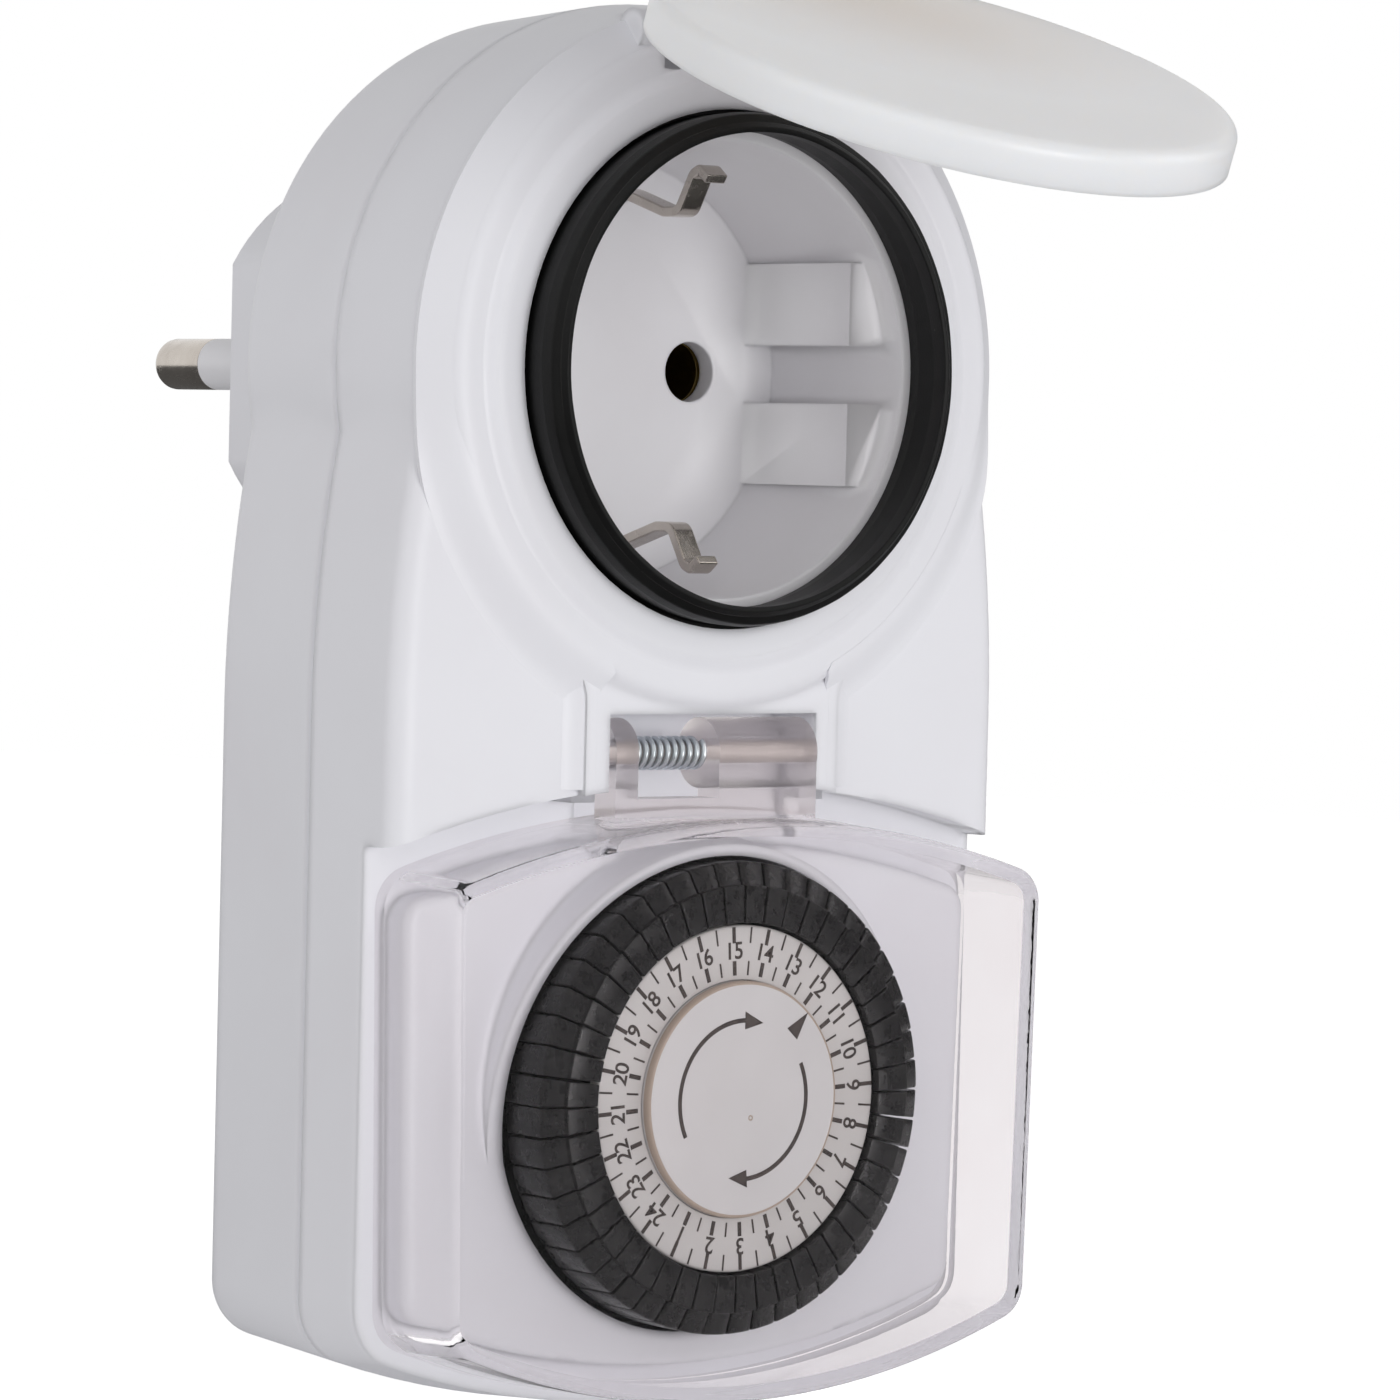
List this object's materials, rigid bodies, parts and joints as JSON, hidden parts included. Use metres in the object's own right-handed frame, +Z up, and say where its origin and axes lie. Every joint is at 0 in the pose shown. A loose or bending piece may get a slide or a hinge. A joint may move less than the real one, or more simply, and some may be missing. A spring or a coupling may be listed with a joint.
{
  "type": "plug-in timer switch",
  "caption": "Plug-in mechanical day timer with a splash-proof earthed socket, hinged lids, a tappet dial, its gear train, motor and switch.",
  "frame": {"origin": "middle of the plug face, midway between the two plug pins", "axes": "-Y is the front with the socket and the dial, +Y is the way the plug pins point, +X is right seen from the front, +Z is up"},
  "size_m": [0.0676, 0.1259, 0.1276],
  "materials": {
    "housing_white": "fine satin moulding",
    "socket_white": "gloss moulding",
    "seal_black": "satin rubber",
    "nickel": "polished nickel plating",
    "sleeve_white": "satin insulation",
    "contact_brass": "plain strip",
    "cover_clear": "clear moulding",
    "zinc": "bright zinc plating",
    "hinge_steel": "plain steel",
    "lid_milky": "milky moulding",
    "tappet_black": "gloss moulding",
    "print_grey": "printed ring",
    "disc_white": "printed disc",
    "gear_white": "natural gear plastic",
    "inner_grey": "plain moulding",
    "can_steel": "plated sheet",
    "coil_copper": "wound copper wire",
    "rotor_ferrite": "bonded ferrite",
    "lead_brown": "soft insulation",
    "lead_blue": "soft insulation"
  },
  "bodies": {
    "housing": {"front_shell": "housing_white", "rear_shell": "housing_white", "socket_well": "socket_white", "socket_seal": "seal_black", "earth_strap_top": "nickel", "earth_strap_bottom": "nickel", "earth_bridge": "contact_brass", "plug_pin_live": "nickel", "plug_pin_neutral": "nickel", "pin_sleeve_live": "sleeve_white", "pin_sleeve_neutral": "sleeve_white", "socket_contact_live": "contact_brass", "socket_contact_neutral": "contact_brass", "neutral_bar": "contact_brass", "live_bar": "contact_brass", "switched_bar": "contact_brass", "switch_block": "inner_grey", "fixed_contact": "contact_brass", "centre_disc": "disc_white", "dial_post": "hinge_steel", "gear_axles": "hinge_steel", "movement_plate": "inner_grey", "motor_can": "can_steel", "stator_coil": "coil_copper", "cover_hinge_pin": "hinge_steel", "cover_spring": "zinc", "lid_hinge_pin": "hinge_steel", "lid_spring": "hinge_steel", "motor_lead_live": "lead_brown", "motor_lead_neutral": "lead_blue", "shell_screws": "zinc", "plate_screws": "zinc", "motor_screws": "zinc"},
    "dial": {"dial_carrier": "tappet_black", "number_ring": "print_grey"},
    "cover": {"dial_cover": "cover_clear"},
    "lid": {"socket_lid": "lid_milky"},
    "second_gear": {"gear_2": "gear_white"},
    "first_gear": {"gear_1": "gear_white"},
    "motor_rotor": {"rotor": "rotor_ferrite"},
    "follower": {"follower_lever": "gear_white"},
    "blade": {"contact_blade": "contact_brass"},
    "tappet_group_01": {"tappets_01": "tappet_black"},
    "tappet_group_02": {"tappets_02": "tappet_black"},
    "tappet_group_03": {"tappets_03": "tappet_black"},
    "tappet_group_04": {"tappets_04": "tappet_black"},
    "tappet_group_05": {"tappets_05": "tappet_black"},
    "tappet_group_06": {"tappets_06": "tappet_black"},
    "tappet_group_07": {"tappets_07": "tappet_black"},
    "tappet_group_08": {"tappets_08": "tappet_black"},
    "tappet_group_09": {"tappets_09": "tappet_black"},
    "tappet_group_10": {"tappets_10": "tappet_black"},
    "tappet_group_11": {"tappets_11": "tappet_black"},
    "tappet_group_12": {"tappets_12": "tappet_black"}
  },
  "joints": [
    {"name": "cover_hinge", "type": "hinge", "parent": "housing", "child": "cover", "pos_m": [0, -0.0519, -0.0334], "axis": [-1, 0, 0], "range_deg": [0, 90], "stiffness_Nm_per_rad": 0.006, "springref_deg": -34.38},
    {"name": "lid_hinge", "type": "hinge", "parent": "housing", "child": "lid", "pos_m": [0, -0.05376, 0.02895], "axis": [-1, 0, 0], "range_deg": [-69.4, 35]},
    {"name": "rotor_spin", "type": "hinge", "parent": "housing", "child": "motor_rotor", "pos_m": [-0.00304, -0.0325, -0.0729], "axis": [0, -1, 0], "continuous": true},
    {"name": "gear_1_spin", "type": "hinge", "parent": "housing", "child": "first_gear", "pos_m": [-0.01337, -0.0415, -0.06567], "axis": [0, -1, 0], "continuous": true},
    {"name": "gear_2_spin", "type": "hinge", "parent": "housing", "child": "second_gear", "pos_m": [-0.01663, -0.0435, -0.0535], "axis": [0, -1, 0], "continuous": true},
    {"name": "dial_spin", "type": "hinge", "parent": "housing", "child": "dial", "pos_m": [0, -0.0545, -0.0631], "axis": [0, -1, 0], "continuous": true},
    {"name": "tappet_press_01", "type": "slide", "parent": "dial", "child": "tappet_group_01", "axis": [0, 1, 0], "range_m": [0, 0.002]},
    {"name": "tappet_press_02", "type": "slide", "parent": "dial", "child": "tappet_group_02", "axis": [0, 1, 0], "range_m": [0, 0.002]},
    {"name": "tappet_press_03", "type": "slide", "parent": "dial", "child": "tappet_group_03", "axis": [0, 1, 0], "range_m": [0, 0.002]},
    {"name": "tappet_press_04", "type": "slide", "parent": "dial", "child": "tappet_group_04", "axis": [0, 1, 0], "range_m": [0, 0.002]},
    {"name": "tappet_press_05", "type": "slide", "parent": "dial", "child": "tappet_group_05", "axis": [0, 1, 0], "range_m": [0, 0.002]},
    {"name": "tappet_press_06", "type": "slide", "parent": "dial", "child": "tappet_group_06", "axis": [0, 1, 0], "range_m": [0, 0.002]},
    {"name": "tappet_press_07", "type": "slide", "parent": "dial", "child": "tappet_group_07", "axis": [0, 1, 0], "range_m": [0, 0.002]},
    {"name": "tappet_press_08", "type": "slide", "parent": "dial", "child": "tappet_group_08", "axis": [0, 1, 0], "range_m": [0, 0.002]},
    {"name": "tappet_press_09", "type": "slide", "parent": "dial", "child": "tappet_group_09", "axis": [0, 1, 0], "range_m": [0, 0.002]},
    {"name": "tappet_press_10", "type": "slide", "parent": "dial", "child": "tappet_group_10", "axis": [0, 1, 0], "range_m": [0, 0.002]},
    {"name": "tappet_press_11", "type": "slide", "parent": "dial", "child": "tappet_group_11", "axis": [0, 1, 0], "range_m": [0, 0.002]},
    {"name": "tappet_press_12", "type": "slide", "parent": "dial", "child": "tappet_group_12", "axis": [0, 1, 0], "range_m": [0, 0.002]},
    {"name": "follower_swing", "type": "hinge", "parent": "housing", "child": "follower", "pos_m": [0.025, -0.04785, -0.05], "axis": [0, 1, 0], "range_deg": [0, 4.5], "stiffness_Nm_per_rad": 0.01, "springref_deg": -2.86},
    {"name": "contact_close", "type": "hinge", "parent": "housing", "child": "blade", "pos_m": [0.0248, -0.044, -0.0275], "axis": [0, -1, 0], "range_deg": [0, 4.5]}
  ],
  "couplings": [
    {"joint": "gear_1_spin", "follows": "rotor_spin", "ratio": -0.3125},
    {"joint": "gear_2_spin", "follows": "rotor_spin", "ratio": 0.097656},
    {"joint": "dial_spin", "follows": "rotor_spin", "ratio": -0.018084},
    {"joint": "contact_close", "follows": "follower_swing", "ratio": 1}
  ]
}
